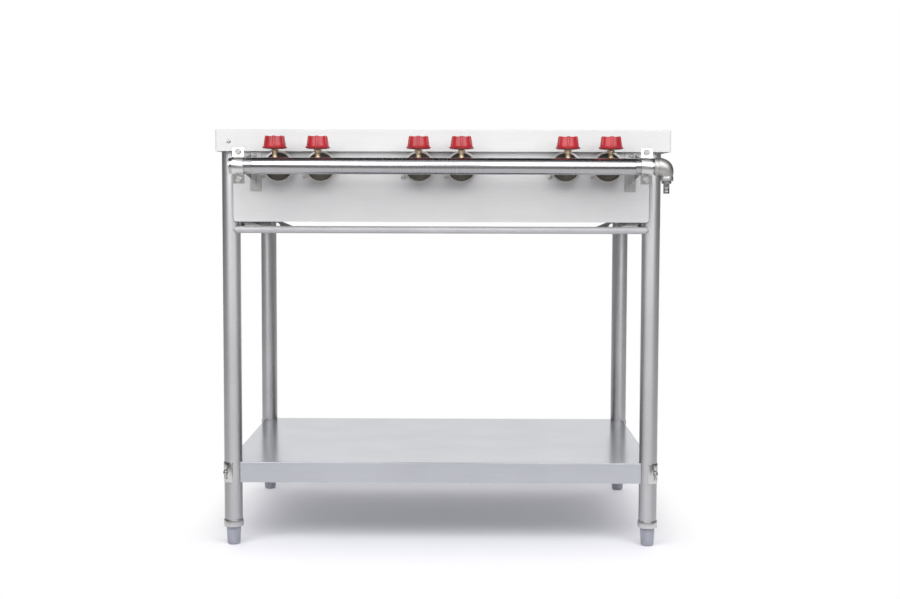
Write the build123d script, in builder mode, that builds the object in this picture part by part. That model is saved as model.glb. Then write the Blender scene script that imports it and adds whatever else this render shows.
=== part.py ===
from build123d import *
import os
from math import atan2, cos, degrees, radians, sin

# A free-standing gas stove: three double-ring burners in a sheet-metal top, fed from a pipe across the
# front, on four tube legs with a shelf. Millimetres, +Z up, the front faces -Y, origin on the floor under
# the middle of the object's box.

# Legs and feet
leg_span_x = 880.0          # between leg centres, left to right
leg_span_y = 600.0          # between leg centres, front to back
leg_mid_x = -4.0            # middle of the legs; the top plate and the pipe sit a little to its right
leg_mid_y = 58.0            # the pipe in front moves the box centre forward
leg_od = 38.0
leg_wall = 1.5
collar_bottom = 39.0        # leg-end collar that holds the foot's thread
collar_floor = 5.0
collar_height = 15.0
collar_od = 41.4
foot_gap = 0.3              # between foot and collar at rest
foot_top_r = 15.5
foot_base_r = 13.5
foot_edge = 4.0
stem_r = 6.0
stem_height = 31.0

# Top plate
sheet = 1.5
rim_top = 877.0
rim_height = 45.0
rim_overhang = 13.0         # beyond the outside of the legs
rim_corner_r = 4.0
rim_edge_r = 2.0
burner_x = (-296.0, -5.0, 297.0)
burner_names = ("left", "middle", "right")
opening_x = 246.0           # opening over each burner
opening_y = 356.0
opening_corner_r = 16.0
opening_lip = 10.0          # edge of each opening, turned down

# Apron panels
panel_short = 7.0           # each panel stops this far inside the leg centres
panel_bottom = 686.0
side_panel_bottom = 669.0
panel_corner_r = 6.0
panel_flange = 12.0
flange_to_leg = 3.0
tube_hole_gap = 2.0         # round each mixing tube in the front panel

# Rails and gussets
rail_od = 15.0
rail_wall = 1.2
front_rail_z = 669.3
front_rail_forward = 10.0   # the front rail stands this far in front of the legs' axes
back_rail_z = 655.3
gusset_length = 44.0
gusset_height = 18.7
gusset_thickness = 3.0
gusset_sink = 2.4           # deepest that a gusset's foot follows the round of its rail
front_gusset_forward = 6.7  # keeps the front gussets just behind the front panel's flange
gusset_snipe_r = 10.0       # clipped inner corner that keeps clear of the welds

# Shelf
shelf_top = 177.5
shelf_flange = 43.5
shelf_beyond_leg = 11.0     # beyond the leg centre lines
shelf_notch_gap = 0.5
clamp_height = 42.0
clamp_thickness = 1.5
clamp_half_angle = 50.0
cleat_thickness = 3.0
cleat_width = 64.0
cleat_height = 36.0

# Fasteners
bolt_r = 3.0                # M6
bolt_head_height = 4.0
bolt_head_af = 10.0
nut_height = 5.0
hole_gap = 0.2
screw_r = 2.4               # pan-head screws
screw_head_r = 4.0
screw_head_height = 2.2

# Gas pipe and its clamps
pipe_y = -372.5
pipe_z = 800.0
pipe_r = 16.85
neck_r = 16.0               # stepped ends that the clamps hold
pipe_bore_r = 13.5
pipe_step_x = (-382.0, 387.5)
pipe_left_end = -426.0
pipe_right_end = 434.0
cap_thickness = 2.0
cap_plug = 8.0
strap_x = 409.0
strap_width = 23.0
strap_thickness = 1.9
strap_half_gap = 0.25
strap_root = 4.6            # the strap's tabs leave its saddle this far in front of the pipe's axis
strap_tip = 1.8             # and lean back to this at their ends
strap_half_height = 36.0
strap_bolt_offset = 28.0
bracket_inner_x = 378.0
web_outer_x = 401.0
bracket_sheet = 2.0
bracket_bottom = 750.0
bracket_top = 838.0
bracket_screw_x = 391.0
bracket_screw_z = (768.0, 824.0)
web_top = 826.0
web_panel_bottom = 775.0
web_pipe_bottom = 786.0
rim_screw_z = 852.0

# Inlet elbow and hose tail
elbow_start_x = 424.5
elbow_collar_width = 8.0
elbow_collar_r = 17.9
elbow_groove_width = 0.8
elbow_groove_r = 17.2
elbow_mouth_r = 18.3
elbow_r = 12.7
elbow_bulge = 0.8           # added to the bend's radius halfway round
elbow_bore_r = 9.0
elbow_pivot = (435.6, 780.4)  # the bend turns about this point on its inside
elbow_axis_x = 449.4
elbow_sections = 3
elbow_bottom = 771.0
elbow_band_height = 9.0
elbow_band_r = 13.7
bushing_af = 17.0
bushing_height = 5.0
hose_r = 6.1
hose_bore_r = 4.0
hose_length = 20.0
hose_groove = 0.25
hose_groove_shares = (0.3, 0.6)

# Valves
valve_offset = 43.5         # each burner has one valve this far on either side of its centre
valve_behind_pipe = 28.0
barrel_r = 10.5
barrel_below = 13.0
barrel_above = 13.0
valve_neck_r = 5.5
valve_neck_height = 15.4
valve_groove_r = 4.6
valve_groove_low = 7.0      # above the barrel
valve_groove_width = 5.0
valve_thread_r = 4.6
valve_thread_height = 3.5
valve_port_r = 7.5
valve_nipple_r = 6.0
valve_nipple_depth = 8.0
valve_outlet_end = -318.0
fit_gap = 0.05              # running and screwed fits, on the radius
gland_af = 13.2
gland_height = 5.2
spindle_r = 3.5
spindle_bottom = 804.0
spindle_top = 851.0
jet_af = 11.0
jet_hex_length = 10.0
jet_tip_r = 3.5
jet_tip_length = 12.0
jet_spigot = 8.0
jet_bore_r = 0.8

# Knobs
knob_bottom = 834.4
knob_height = 25.4
knob_foot_r = 12.0          # flat part of the underside
knob_dish = (19.0, 0.4)     # radius and height that the underside's curve passes
knob_lip_r = 25.4
knob_lip_z = 1.3            # lower edge of the lip
knob_lip_thickness = 3.0
knob_lip_undercut = 1.8     # the lip's face leans in by this towards its lower edge
knob_groove = (23.1, 5.6)   # radius and height of the hollow between lip and body
knob_waist_z = 8.0          # the ribs start here
knob_body_r = 22.3
knob_taper = 2.2
knob_crown_r = 1.8
knob_ribs = 6
rib_r = 3.2
rib_proud = 1.3
rib_rise = 1.0              # the ribs stand this far above the top

# Burners, air shutters and pan supports
mouth_y = -287.5            # front face of the air shutters
shutter_od = 66.0
shutter_sheet = 1.5
shutter_lip_r = 29.0
shutter_length = 13.0       # the sleeve ends just in front of the rim
shutter_gap = 0.3
window_width = 26.0
window_length = 6.5
ear_angle = 214.0           # seen from the front, from +X
ear_reach = 44.5
ear_width = 11.0
ear_screw_radius = 38.5
ear_hole_r = 2.1
bell_wall = 3.7
bell_shoulder_y = -273.0    # the bell's outside tapers from here to its hub
bell_floor_y = -273.5       # the bell's cup ends here
bell_throat_y = -271.0      # the cone in the bell's floor ends here
bell_hub_y = -266.0
bell_hub_r = 22.0
bell_to_panel = 1.0
bell_socket_depth = 6.0
tube_r = 18.0
tube_bore_r = 13.0
ring_bottom = 812.0
ring_height = 30.0
outer_ring = (70.0, 96.0)
inner_ring = (20.0, 46.0)
ring_wall = 6.0
port_r = 1.5
outer_ports = 32
inner_ports = 16
bridge_width = 12.0
burner_post_r = 7.0
burner_post_y = 25.0
bar_x = 83.5
bar_thickness = 5.0
bar_height = 25.0
bar_top = 800.0
support_x = 280.0
support_y = 390.0
support_frame = 20.0
support_thickness = 6.0
support_corner_r = 12.0
support_skirt = 8.0
support_skirt_gap = 2.0
skirt_wall = 4.5
finger_width = 9.0
finger_root_depth = 20.0
finger_tip_depth = 13.0
finger_tip_r = 34.0

# Places worked out from the driving dimensions
leg_r = leg_od / 2
leg_bottom = collar_bottom + collar_floor
under_top = rim_top - sheet
rim_bottom = rim_top - rim_height
leg_left_x = leg_mid_x - leg_span_x / 2
leg_right_x = leg_mid_x + leg_span_x / 2
front_leg_y = leg_mid_y - leg_span_y / 2
back_leg_y = leg_mid_y + leg_span_y / 2
rim_front_y = front_leg_y - leg_r - rim_overhang
panel_front_y = front_leg_y - leg_r - sheet
panel_back_y = back_leg_y + leg_r + sheet
panel_side_x = leg_span_x / 2 + leg_r + sheet
shelf_bottom = shelf_top - shelf_flange
shelf_bolt_z = shelf_bottom + shelf_flange / 2
valve_y = pipe_y + valve_behind_pipe
valve_x = [x + side * valve_offset for x in burner_x for side in (-1, 1)]
valve_names = [name + side for name in burner_names for side in ("_inner", "_outer")]
shutter_r = shutter_od / 2
bell_r = shutter_r - shutter_sheet - shutter_gap
bell_front_y = mouth_y + shutter_sheet + shutter_gap
bell_back_y = panel_front_y - bell_to_panel
bell_socket_y = bell_back_y - bell_socket_depth
tube_front_y = bell_socket_y + hole_gap
barrel_top = pipe_z + barrel_above
valve_neck_top = barrel_top + valve_neck_height
neck_hole_r = neck_r + 2 * fit_gap
saddle_r = neck_hole_r + strap_thickness
saddle_high = (saddle_r**2 - strap_root**2) ** 0.5
strap_face = strap_half_gap + strap_thickness
strap_lean = (strap_root - strap_tip) / (strap_half_height - saddle_high)
strap_bolt_seat = strap_tip + strap_lean * (strap_half_height - strap_bolt_offset + bolt_head_af / 2)
outside = 200.0             # cutters reach this far, well past the piece
corners = {"front_left": (-1, -1), "front_right": (1, -1), "back_left": (-1, 1), "back_right": (1, 1)}

os.makedirs("parts", exist_ok=True)


def save(piece, name):
    piece.part.label = name
    export_step(piece.part, f"parts/{name}.step")


def leg_point(side_x, side_y):
    return (leg_mid_x + side_x * leg_span_x / 2, leg_mid_y + side_y * leg_span_y / 2)


def diagonal_plane(side_x, side_y, distance):
    """Plane square to the outward diagonal of a leg, the given distance from the leg's axis."""
    x, y = leg_point(side_x, side_y)
    reach = distance * sin(radians(45))
    return Plane(
        origin=(x + side_x * reach, y + side_y * reach, shelf_bolt_z),
        x_dir=(-side_y, side_x, 0),
        z_dir=(side_x, side_y, 0),
    )


def front_plane(x, y, z):
    """Upright plane facing the front: its x runs right, its y runs up."""
    return Plane(origin=(x, y, z), x_dir=(1, 0, 0), z_dir=(0, -1, 0))


# Tube legs, each drilled on its outward diagonal for the shelf bolt
def make_leg(name):
    side_x, side_y = corners[name]
    centre = leg_point(side_x, side_y)
    with BuildPart() as leg:
        with BuildSketch(Plane.XY.offset(leg_bottom)):
            with Locations(centre):
                Circle(leg_r)
                Circle(leg_r - leg_wall, mode=Mode.SUBTRACT)
        extrude(amount=under_top - leg_bottom)
        with BuildSketch(diagonal_plane(side_x, side_y, 0)):
            Circle(bolt_r + hole_gap)
        extrude(amount=leg_od, both=True, mode=Mode.SUBTRACT)
        if name == "front_left":
            with BuildSketch(front_plane(centre[0], centre[1], rim_screw_z)):
                Circle(screw_r + hole_gap)
            extrude(amount=leg_od, mode=Mode.SUBTRACT)
    return leg


for corner in corners:
    save(make_leg(corner), f"leg_{corner}")

# Leg-end collars, cups with a threaded floor for the foot
with BuildPart() as foot_sockets:
    with BuildSketch(Plane.XY.offset(collar_bottom)):
        for sides in corners.values():
            with Locations(leg_point(*sides)):
                Circle(collar_od / 2)
                Circle(stem_r + fit_gap, mode=Mode.SUBTRACT)
    extrude(amount=collar_height)
    with BuildSketch(Plane.XY.offset(leg_bottom)):
        for sides in corners.values():
            with Locations(leg_point(*sides)):
                Circle(leg_r + fit_gap)
    extrude(amount=collar_height, mode=Mode.SUBTRACT)
save(foot_sockets, "foot_sockets")


# Levelling feet, tapered plastic bullets with a threaded stem
def make_foot(name):
    x, y = leg_point(*corners[name])
    foot_top = collar_bottom - foot_gap
    with BuildPart() as foot:
        with BuildSketch(front_plane(x, y, 0)):
            with BuildLine():
                Line((0, 0), (foot_base_r - foot_edge, 0))
                RadiusArc((foot_base_r - foot_edge, 0), (foot_base_r, foot_edge), -foot_edge)
                Line((foot_base_r, foot_edge), (foot_top_r, foot_top))
                Line((foot_top_r, foot_top), (stem_r, foot_top))
                Line((stem_r, foot_top), (stem_r, foot_top + stem_height))
                Line((stem_r, foot_top + stem_height), (0, foot_top + stem_height))
                Line((0, foot_top + stem_height), (0, 0))
            make_face()
        revolve(axis=Axis((x, y, 0), (0, 0, 1)))
    return foot


for corner in corners:
    save(make_foot(corner), f"foot_{corner}")

# Top plate, a sheet folded down into the rim, with a lipped opening over each burner
rim_x = leg_span_x + leg_od + 2 * rim_overhang
rim_y = leg_span_y + leg_od + 2 * rim_overhang
burner_points = [(x, leg_mid_y) for x in burner_x]
with BuildPart() as top_plate:
    with BuildSketch(Plane.XY.offset(rim_bottom)):
        with Locations((0, leg_mid_y)):
            RectangleRounded(rim_x, rim_y, rim_corner_r)
    extrude(amount=rim_height)
    fillet(top_plate.faces().sort_by(Axis.Z)[-1].edges(), rim_edge_r)
    with BuildSketch(Plane.XY.offset(rim_bottom)):
        with Locations((0, leg_mid_y)):
            RectangleRounded(rim_x - 2 * sheet, rim_y - 2 * sheet, rim_corner_r - sheet)
    extrude(amount=rim_height - sheet, mode=Mode.SUBTRACT)
    with BuildSketch(Plane.XY.offset(rim_top - opening_lip)):
        with Locations(*burner_points):
            RectangleRounded(opening_x + 2 * sheet, opening_y + 2 * sheet, opening_corner_r + sheet)
    extrude(amount=opening_lip - sheet / 2)
    with BuildSketch(Plane.XY.offset(rim_top)):
        with Locations(*burner_points):
            RectangleRounded(opening_x, opening_y, opening_corner_r)
    extrude(amount=-rim_height, mode=Mode.SUBTRACT)
    with BuildSketch(front_plane(leg_left_x, rim_front_y + rim_overhang, rim_screw_z)):
        Circle(screw_r + hole_gap)
    extrude(amount=2 * rim_overhang, mode=Mode.SUBTRACT)
save(top_plate, "top_plate")


# Apron panels, flat sheets with flanges turned in at the top and bottom between the legs
def make_panel(plane, span, bottom, holes=()):
    width = span - 2 * panel_short
    flange_width = span - leg_od - 2 * flange_to_leg
    normal = Axis((0, 0, 0), plane.z_dir)
    with BuildPart() as panel:
        with BuildSketch(plane):
            with Locations((0, bottom)):
                Rectangle(width, under_top - bottom, align=(Align.CENTER, Align.MIN))
        extrude(amount=-sheet)
        fillet(panel.edges().filter_by(normal).group_by(Axis.Z)[0], panel_corner_r)
        with BuildSketch(plane):
            with Locations((0, bottom)):
                Rectangle(flange_width, sheet, align=(Align.CENTER, Align.MIN))
            with Locations((0, under_top)):
                Rectangle(flange_width, sheet, align=(Align.CENTER, Align.MAX))
        extrude(amount=-panel_flange)
        for x, z, radius in holes:
            with BuildSketch(plane):
                with Locations((x, z)):
                    Circle(radius)
            extrude(amount=-panel_flange, mode=Mode.SUBTRACT)
    return panel


tube_holes = [(x - leg_mid_x, pipe_z, tube_r + tube_hole_gap) for x in valve_x]
bracket_screws = [(side * bracket_screw_x, z) for side in (-1, 1) for z in bracket_screw_z]
bracket_holes = [(x - leg_mid_x, z, screw_r + hole_gap) for x, z in bracket_screws]
front_face = front_plane(leg_mid_x, panel_front_y, 0)
back_face = Plane(origin=(leg_mid_x, panel_back_y, 0), x_dir=(-1, 0, 0), z_dir=(0, 1, 0))
left_face = Plane(origin=(leg_mid_x - panel_side_x, leg_mid_y, 0), x_dir=(0, -1, 0), z_dir=(-1, 0, 0))
right_face = Plane(origin=(leg_mid_x + panel_side_x, leg_mid_y, 0), x_dir=(0, 1, 0), z_dir=(1, 0, 0))
save(make_panel(front_face, leg_span_x, panel_bottom, tube_holes + bracket_holes), "front_panel")
save(make_panel(back_face, leg_span_x, panel_bottom), "back_panel")
save(make_panel(left_face, leg_span_y, side_panel_bottom), "left_panel")
save(make_panel(right_face, leg_span_y, side_panel_bottom), "right_panel")


# Rails, thin tubes welded between the legs with their ends cut to the legs' round
with BuildSketch(Plane.XY.offset(leg_bottom)) as leg_rounds:
    for sides in corners.values():
        with Locations(leg_point(*sides)):
            Circle(leg_r)


def rail_section(*points):
    with Locations(*points):
        Circle(rail_od / 2)
        Circle(rail_od / 2 - rail_wall, mode=Mode.SUBTRACT)


rail_places = {
    "front_rail": (front_leg_y - front_rail_forward, front_rail_z),
    "back_rail": (back_leg_y, back_rail_z),
}
for rail_name, rail_place in rail_places.items():
    with BuildPart() as rail:
        with BuildSketch(Plane.YZ.offset(leg_left_x)):
            rail_section(rail_place)
        extrude(amount=leg_span_x)
        extrude(leg_rounds.sketch, amount=under_top - leg_bottom, mode=Mode.SUBTRACT)
    save(rail, rail_name)

with BuildPart() as side_rails:
    with BuildSketch(Plane.ZX.offset(front_leg_y)):
        rail_section((front_rail_z, leg_left_x), (front_rail_z, leg_right_x))
    extrude(amount=leg_span_y)
    extrude(leg_rounds.sketch, amount=under_top - leg_bottom, mode=Mode.SUBTRACT)
save(side_rails, "side_rails")

# Corner gussets, triangles standing on the front and back rails against the legs
with BuildPart() as corner_gussets:
    for side_x, side_y in corners.values():
        leg_x, leg_y = leg_point(side_x, side_y)
        gusset_y = leg_y - front_gusset_forward if side_y < 0 else leg_y
        base_z = (front_rail_z if side_y < 0 else back_rail_z) + rail_od / 2
        inner_x = leg_x - side_x * leg_r
        with BuildSketch(front_plane(0, gusset_y, 0)):
            with BuildLine():
                Polyline(
                    (leg_x, base_z - gusset_sink),
                    (leg_x, base_z + gusset_height),
                    (inner_x, base_z + gusset_height),
                    (inner_x - side_x * gusset_length, base_z),
                    (inner_x - side_x * gusset_length, base_z - gusset_sink),
                    close=True,
                )
            make_face()
            with Locations((inner_x, base_z)):
                Circle(gusset_snipe_r, mode=Mode.SUBTRACT)
        extrude(amount=gusset_thickness / 2, both=True)
    with BuildSketch(Plane.YZ.offset(leg_left_x)):
        with Locations(*rail_places.values()):
            Circle(rail_od / 2)
    extrude(amount=leg_span_x, mode=Mode.SUBTRACT)
    extrude(leg_rounds.sketch, amount=under_top - leg_bottom, mode=Mode.SUBTRACT)
save(corner_gussets, "corner_gussets")

# Shelf, a sheet with flanges folded down all round and its corners notched for the legs
shelf_x = leg_span_x + 2 * shelf_beyond_leg
shelf_y = leg_span_y + 2 * shelf_beyond_leg
with BuildPart() as shelf:
    with BuildSketch(Plane.XY.offset(shelf_bottom)):
        with Locations((leg_mid_x, leg_mid_y)):
            Rectangle(shelf_x, shelf_y)
    extrude(amount=shelf_flange)
    fillet(shelf.faces().sort_by(Axis.Z)[-1].edges(), rim_edge_r)
    with BuildSketch(Plane.XY.offset(shelf_bottom)):
        with Locations((leg_mid_x, leg_mid_y)):
            Rectangle(shelf_x - 2 * sheet, shelf_y - 2 * sheet)
    extrude(amount=shelf_flange - sheet, mode=Mode.SUBTRACT)
    with BuildSketch(Plane.XY.offset(shelf_bottom)):
        for sides in corners.values():
            with Locations(leg_point(*sides)):
                Circle(leg_r + shelf_notch_gap)
    extrude(amount=shelf_flange, mode=Mode.SUBTRACT)
save(shelf, "shelf")

# Shelf cleats, plates across the inside of each corner that take the bolt's pull
cleat_face = leg_r + shelf_notch_gap
with BuildPart() as shelf_cleats:
    for sides in corners.values():
        with BuildSketch(diagonal_plane(*sides, -cleat_face)):
            Rectangle(cleat_width, cleat_height)
            Circle(bolt_r + hole_gap, mode=Mode.SUBTRACT)
        extrude(amount=-cleat_thickness)
save(shelf_cleats, "shelf_cleats")

# Shelf clamps, curved pads on the outside of each leg under the bolt head
clamp_face = leg_r + fit_gap + clamp_thickness
with BuildPart() as shelf_clamps:
    for side_x, side_y in corners.values():
        start = degrees(atan2(side_y, side_x)) - clamp_half_angle
        with BuildSketch(Plane.XY.offset(shelf_bolt_z - clamp_height / 2)):
            with BuildLine(Plane(leg_point(side_x, side_y))):
                outer = CenterArc((0, 0), clamp_face, start, 2 * clamp_half_angle)
                inner = CenterArc((0, 0), leg_r + fit_gap, start, 2 * clamp_half_angle)
                Line(outer @ 0, inner @ 0)
                Line(outer @ 1, inner @ 1)
            make_face()
        extrude(amount=clamp_height)
        with BuildSketch(diagonal_plane(side_x, side_y, leg_r)):
            Circle(bolt_r + hole_gap)
        extrude(amount=2 * clamp_thickness, both=True, mode=Mode.SUBTRACT)
save(shelf_clamps, "shelf_clamps")

# Shelf bolts, through clamp, leg and cleat
bolt_end = cleat_face + cleat_thickness + nut_height + bolt_r
with BuildPart() as shelf_bolts:
    for sides in corners.values():
        with BuildSketch(diagonal_plane(*sides, clamp_face)):
            Circle(bolt_head_af / 2)
        extrude(amount=bolt_head_height)
        with BuildSketch(diagonal_plane(*sides, clamp_face)):
            Circle(bolt_r)
        extrude(amount=-(clamp_face + bolt_end))
save(shelf_bolts, "shelf_bolts")

# Gas pipe, a tube with stepped ends and six holes in its back for the valves
with BuildPart() as manifold_pipe:
    with BuildSketch(Plane.YZ.offset(pipe_left_end)):
        with Locations((pipe_y, pipe_z)):
            Circle(neck_r)
    extrude(amount=pipe_right_end - pipe_left_end)
    with BuildSketch(Plane.YZ.offset(pipe_step_x[0])):
        with Locations((pipe_y, pipe_z)):
            Circle(pipe_r)
    extrude(amount=pipe_step_x[1] - pipe_step_x[0])
    with BuildSketch(Plane.YZ.offset(pipe_left_end)):
        with Locations((pipe_y, pipe_z)):
            Circle(pipe_bore_r)
    extrude(amount=pipe_right_end - pipe_left_end, mode=Mode.SUBTRACT)
    for x in valve_x:
        with BuildSketch(front_plane(x, pipe_y, pipe_z)):
            Circle(valve_nipple_r + fit_gap)
        extrude(amount=-2 * pipe_r, mode=Mode.SUBTRACT)
save(manifold_pipe, "manifold_pipe")

# End cap, a plug in the pipe's left end
with BuildPart() as manifold_cap:
    with BuildSketch(Plane.YZ.offset(pipe_left_end)):
        with Locations((pipe_y, pipe_z)):
            Circle(neck_r)
    extrude(amount=-cap_thickness)
    with BuildSketch(Plane.YZ.offset(pipe_left_end)):
        with Locations((pipe_y, pipe_z)):
            Circle(pipe_bore_r - fit_gap)
    extrude(amount=cap_plug)
save(manifold_cap, "manifold_cap")

# Inlet elbow on the pipe's right end, a bend that narrows downwards with a banded socket at each mouth
elbow_groove_x = elbow_start_x + elbow_collar_width
with BuildPart() as inlet_elbow:
    for step in range(elbow_sections):
        share = step / (elbow_sections - 1)
        turn = radians(90 * share)
        swell = elbow_bulge * sin(2 * turn)
        reach = swell + (pipe_z - elbow_pivot[1]) * (1 - share) + (elbow_axis_x - elbow_pivot[0]) * share
        middle = (elbow_pivot[0] + reach * sin(turn), pipe_y, elbow_pivot[1] + reach * cos(turn))
        with BuildSketch(Plane(origin=middle, x_dir=(0, 1, 0), z_dir=(cos(turn), 0, -sin(turn)))):
            Circle(swell + elbow_mouth_r * (1 - share) + elbow_r * share)
    loft()
    mouth_steps = (
        (elbow_start_x, elbow_groove_x, elbow_collar_r),
        (elbow_groove_x, elbow_groove_x + elbow_groove_width, elbow_groove_r),
        (elbow_groove_x + elbow_groove_width, elbow_pivot[0], elbow_mouth_r),
    )
    for near_x, far_x, radius in mouth_steps:
        with BuildSketch(Plane.YZ.offset(near_x)):
            with Locations((pipe_y, pipe_z)):
                Circle(radius)
        extrude(amount=far_x - near_x)
    outlet_steps = ((elbow_pivot[1], elbow_r), (elbow_bottom + elbow_band_height, elbow_band_r))
    for top_z, radius in outlet_steps:
        with BuildSketch(Plane.XY.offset(elbow_bottom)):
            with Locations((elbow_axis_x, pipe_y)):
                Circle(radius)
        extrude(amount=top_z - elbow_bottom)
    with BuildSketch(Plane.XY.offset(elbow_bottom)):
        with Locations((elbow_axis_x, pipe_y)):
            Circle(elbow_bore_r)
    extrude(amount=pipe_z - elbow_bottom, mode=Mode.SUBTRACT)
    bore_steps = ((pipe_right_end, neck_r + fit_gap), (elbow_axis_x, elbow_bore_r))
    for far_x, radius in bore_steps:
        with BuildSketch(Plane.YZ.offset(elbow_start_x)):
            with Locations((pipe_y, pipe_z)):
                Circle(radius)
        extrude(amount=far_x - elbow_start_x, mode=Mode.SUBTRACT)
save(inlet_elbow, "inlet_elbow")

# Hose tail, a hex bushing screwed into the elbow with a grooved spigot below
bushing_bottom = elbow_bottom - bushing_height
hose_bottom = bushing_bottom - hose_length
groove_levels = [hose_bottom + hose_length * share for share in hose_groove_shares]
with BuildPart() as hose_barb:
    with BuildSketch(Plane.XY.offset(bushing_bottom)):
        with Locations((elbow_axis_x, pipe_y)):
            RegularPolygon(bushing_af / 2, 6, major_radius=False)
    extrude(amount=bushing_height)
    with BuildSketch(Plane.XY.offset(hose_bottom)):
        with Locations((elbow_axis_x, pipe_y)):
            Circle(hose_r)
    extrude(amount=hose_length)
    with BuildSketch(Plane.XY.offset(elbow_bottom)):
        with Locations((elbow_axis_x, pipe_y)):
            Circle(elbow_bore_r - fit_gap)
    extrude(amount=elbow_band_height)
    for level in groove_levels:
        with BuildSketch(Plane.XY.offset(level)):
            with Locations((elbow_axis_x, pipe_y)):
                Circle(hose_r)
                Circle(hose_r - hose_groove, mode=Mode.SUBTRACT)
        extrude(amount=2 * hose_groove, mode=Mode.SUBTRACT)
    with BuildSketch(Plane.XY.offset(hose_bottom)):
        with Locations((elbow_axis_x, pipe_y)):
            Circle(hose_bore_r)
    extrude(amount=outside, mode=Mode.SUBTRACT)
save(hose_barb, "hose_barb")


# Pipe clamps: each bracket carries the back half, and a strap closes the front
def clamp_back(side):
    """Back half of a pipe clamp, a saddle with a tab above and below."""
    with BuildSketch(Plane.YZ.offset(side * strap_x)) as half:
        with Locations((pipe_y, pipe_z)):
            Circle(saddle_r)
        with Locations((pipe_y + strap_half_gap, pipe_z)):
            Rectangle(strap_thickness, 2 * strap_half_height, align=(Align.MIN, Align.CENTER))
        with Locations((pipe_y, pipe_z)):
            Circle(neck_hole_r, mode=Mode.SUBTRACT)
        with Locations((pipe_y + strap_half_gap, pipe_z)):
            Rectangle(2 * saddle_r, 2 * saddle_r, align=(Align.MAX, Align.CENTER), mode=Mode.SUBTRACT)
    return half.sketch


def strap_profile(side):
    """Side view of a strap, a saddle whose tabs lean back to the bracket."""
    back_root = strap_root - strap_thickness
    back_tip = strap_tip - strap_thickness
    back_high = (neck_hole_r**2 - back_root**2) ** 0.5
    clamp_side = Plane(origin=(side * strap_x, pipe_y, pipe_z), x_dir=(0, -1, 0), z_dir=(-1, 0, 0))
    with BuildSketch(clamp_side) as profile:
        with BuildLine():
            Line((strap_tip, strap_half_height), (strap_root, saddle_high))
            ThreePointArc((strap_root, saddle_high), (saddle_r, 0), (strap_root, -saddle_high))
            Line((strap_root, -saddle_high), (strap_tip, -strap_half_height))
            Line((strap_tip, -strap_half_height), (back_tip, -strap_half_height))
            Line((back_tip, -strap_half_height), (back_root, -back_high))
            ThreePointArc((back_root, -back_high), (neck_hole_r, 0), (back_root, back_high))
            Line((back_root, back_high), (back_tip, strap_half_height))
            Line((back_tip, strap_half_height), (strap_tip, strap_half_height))
        make_face()
    return profile.sketch


strap_bolt_places = [
    (side * strap_x, pipe_z + offset_z)
    for side in (-1, 1)
    for offset_z in (-strap_bolt_offset, strap_bolt_offset)
]


with BuildSketch(front_plane(0, pipe_y, 0)) as strap_holes:
    with Locations(*strap_bolt_places):
        Circle(bolt_r + hole_gap)

with BuildPart() as clamp_straps:
    for side in (-1, 1):
        extrude(strap_profile(side), amount=strap_width / 2, both=True)
    extrude(strap_holes.sketch, amount=saddle_r, both=True, mode=Mode.SUBTRACT)
save(clamp_straps, "clamp_straps")

# Pipe brackets: a plate screwed to the front panel and a web out to the back half of the clamp
plate_width = web_outer_x - bracket_inner_x
bracket_face = front_plane(0, panel_front_y, 0)
with BuildPart() as pipe_brackets:
    for side in (-1, 1):
        extrude(clamp_back(side), amount=strap_width / 2, both=True)
        with BuildSketch(bracket_face):
            with Locations((side * (bracket_inner_x + plate_width / 2), bracket_bottom)):
                Rectangle(plate_width, bracket_top - bracket_bottom, align=(Align.CENTER, Align.MIN))
        extrude(amount=bracket_sheet)
        with BuildSketch(Plane.YZ.offset(side * web_outer_x)):
            with BuildLine():
                Polyline(
                    (panel_front_y, web_panel_bottom),
                    (panel_front_y, web_top),
                    (pipe_y + saddle_r / 2, pipe_z + neck_r),
                    (pipe_y + saddle_r / 2, web_pipe_bottom),
                    close=True,
                )
            make_face()
        extrude(amount=-side * bracket_sheet)
    with BuildSketch(Plane.YZ.offset(-strap_x - strap_width)):
        with Locations((pipe_y, pipe_z)):
            Circle(neck_hole_r)
    extrude(amount=2 * (strap_x + strap_width), mode=Mode.SUBTRACT)
    with BuildSketch(bracket_face):
        with Locations(*bracket_screws):
            Circle(screw_r + hole_gap)
    extrude(amount=2 * bracket_sheet, mode=Mode.SUBTRACT)
    extrude(strap_holes.sketch, amount=2 * strap_face, both=True, mode=Mode.SUBTRACT)
save(pipe_brackets, "pipe_brackets")

# Clamp bolts, hexagon heads at the front of the straps
with BuildPart() as clamp_bolts:
    with BuildSketch(front_plane(0, pipe_y - strap_bolt_seat, 0)):
        with Locations(*strap_bolt_places):
            RegularPolygon(bolt_head_af / 2, 6, major_radius=False)
    extrude(amount=bolt_head_height)
    with BuildSketch(front_plane(0, pipe_y - strap_bolt_seat, 0)):
        with Locations(*strap_bolt_places):
            Circle(bolt_r)
    extrude(amount=-(strap_bolt_seat + strap_face + nut_height + bolt_r))
save(clamp_bolts, "clamp_bolts")

# Hexagon nuts of the clamp bolts and of the shelf bolts
with BuildPart() as hex_nuts:
    with BuildSketch(front_plane(0, pipe_y + strap_face, 0)):
        with Locations(*strap_bolt_places):
            RegularPolygon(bolt_head_af / 2, 6, major_radius=False)
            Circle(bolt_r + fit_gap, mode=Mode.SUBTRACT)
    extrude(amount=-nut_height)
    for sides in corners.values():
        with BuildSketch(diagonal_plane(*sides, -cleat_face - cleat_thickness)):
            RegularPolygon(bolt_head_af / 2, 6, major_radius=False)
            Circle(bolt_r + fit_gap, mode=Mode.SUBTRACT)
        extrude(amount=-nut_height)
save(hex_nuts, "hex_nuts")

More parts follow.
